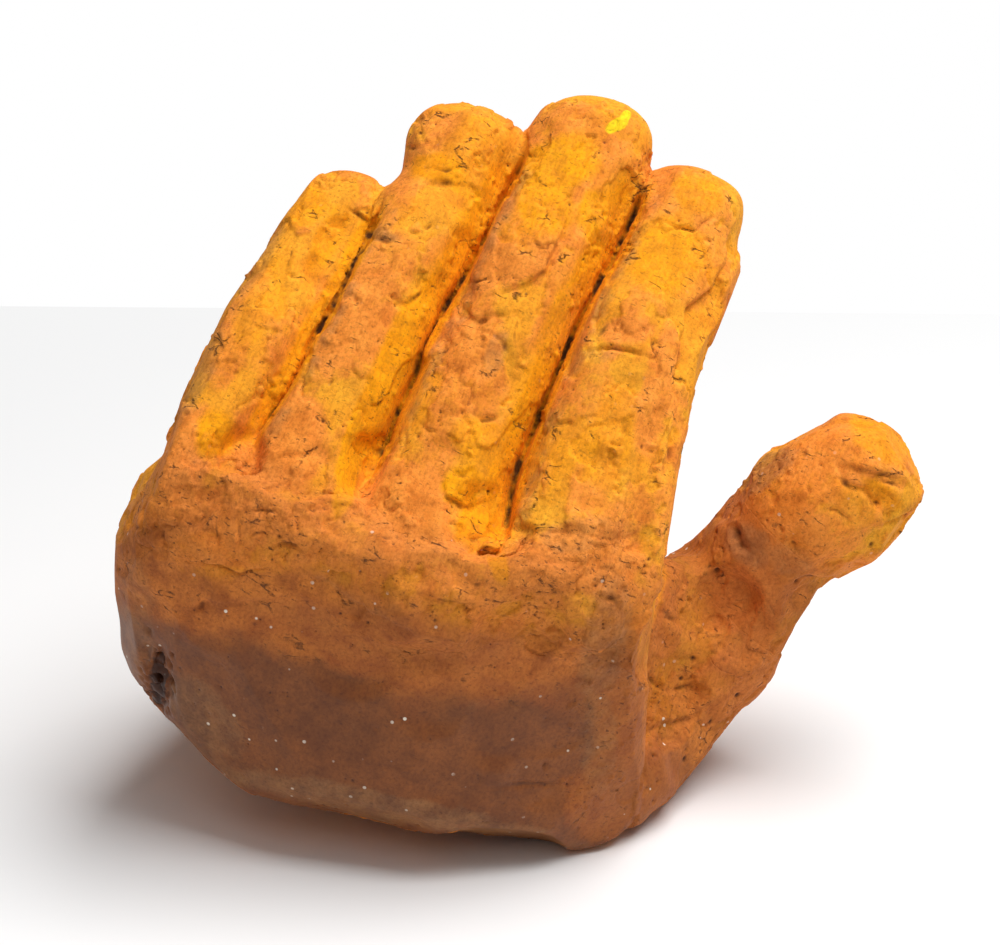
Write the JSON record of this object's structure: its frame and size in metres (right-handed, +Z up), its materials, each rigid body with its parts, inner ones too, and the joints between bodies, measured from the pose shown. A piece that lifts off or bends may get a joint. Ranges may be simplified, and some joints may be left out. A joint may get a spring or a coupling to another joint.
{
  "type": "ceramic hand sculpture",
  "caption": "Cupped left hand in unglazed red clay, resting on its back with the fingers leaning over the palm and the thumb held out to the side.",
  "frame": {"origin": "on the table, under the middle of the whole hand", "axes": "+X to the thumb's side, the hand's longest extent; +Y from the backs of the fingers towards the wrist; +Z up from the table"},
  "size_m": [0.1966, 0.1332, 0.172],
  "materials": {
    "burnished_red_clay": "burnished, unglazed",
    "handled_red_clay": "smoothed by hand, unglazed",
    "raw_red_clay": "raw, unglazed"
  },
  "bodies": {
    "root": {"back_shell": "burnished_red_clay", "palm_bowl": "handled_red_clay", "wrist_plug": "handled_red_clay", "heel_mound": "handled_red_clay", "thumb_mound": "handled_red_clay", "thumb_shaft": "handled_red_clay", "thumb_tip": "raw_red_clay", "little_finger": "raw_red_clay", "ring_finger": "raw_red_clay", "middle_finger": "raw_red_clay", "index_finger": "raw_red_clay", "knuckle_band": "handled_red_clay", "index_strip": "raw_red_clay", "web_wad": "handled_red_clay"}
  },
  "joints": []
}
